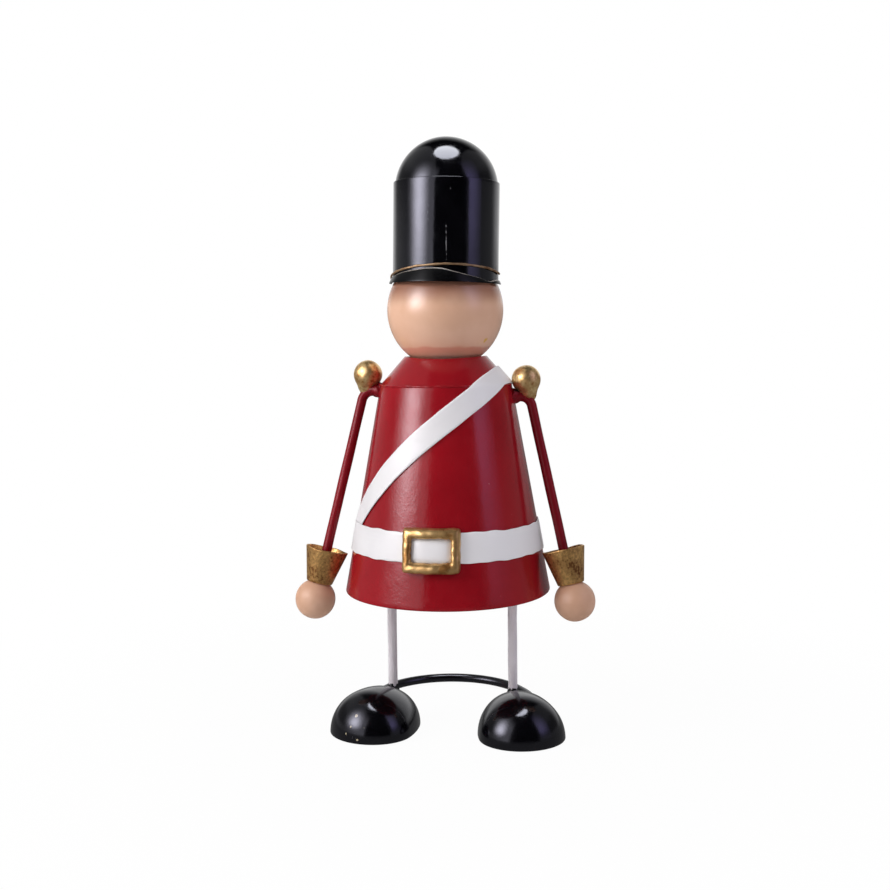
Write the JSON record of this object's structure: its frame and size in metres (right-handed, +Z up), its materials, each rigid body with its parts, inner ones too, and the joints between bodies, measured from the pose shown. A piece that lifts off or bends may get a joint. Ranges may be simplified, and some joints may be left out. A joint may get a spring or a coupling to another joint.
{
  "type": "toy soldier figure",
  "caption": "Standing toy guard soldier of painted sheet steel, bent wire and round balls, with a tall domed hat, a cone coat, a sash, a belt and a rear hoop; a shelf ornament.",
  "frame": {"origin": "on the ground, under the middle of the figure's bounding box", "axes": "+Z up, -Y the way the figure faces, +X the figure's own left"},
  "size_m": [0.1006, 0.0892, 0.199],
  "materials": {
    "coat_paint": "gloss red enamel",
    "hat_paint": "gloss black enamel",
    "gold_leaf": "mottled gold leaf",
    "strap_paint": "satin white paint",
    "leg_paint": "satin off-white paint",
    "head_wood": "gloss skin-coloured paint",
    "hand_wood": "satin skin-coloured paint"
  },
  "bodies": {
    "root": {"coat": "coat_paint", "yoke": "coat_paint", "arm_left": "coat_paint", "arm_right": "coat_paint", "hat_dome": "hat_paint", "hat_tube": "hat_paint", "hat_visor": "hat_paint", "boot_left": "hat_paint", "boot_right": "hat_paint", "rear_hoop": "hat_paint", "hat_cord": "gold_leaf", "buckle": "gold_leaf", "shoulder_ball_left": "gold_leaf", "shoulder_ball_right": "gold_leaf", "cuff_left": "gold_leaf", "cuff_right": "gold_leaf", "sash": "strap_paint", "belt": "strap_paint", "leg_left": "leg_paint", "leg_right": "leg_paint", "head": "head_wood", "hand_left": "hand_wood", "hand_right": "hand_wood"}
  },
  "joints": []
}
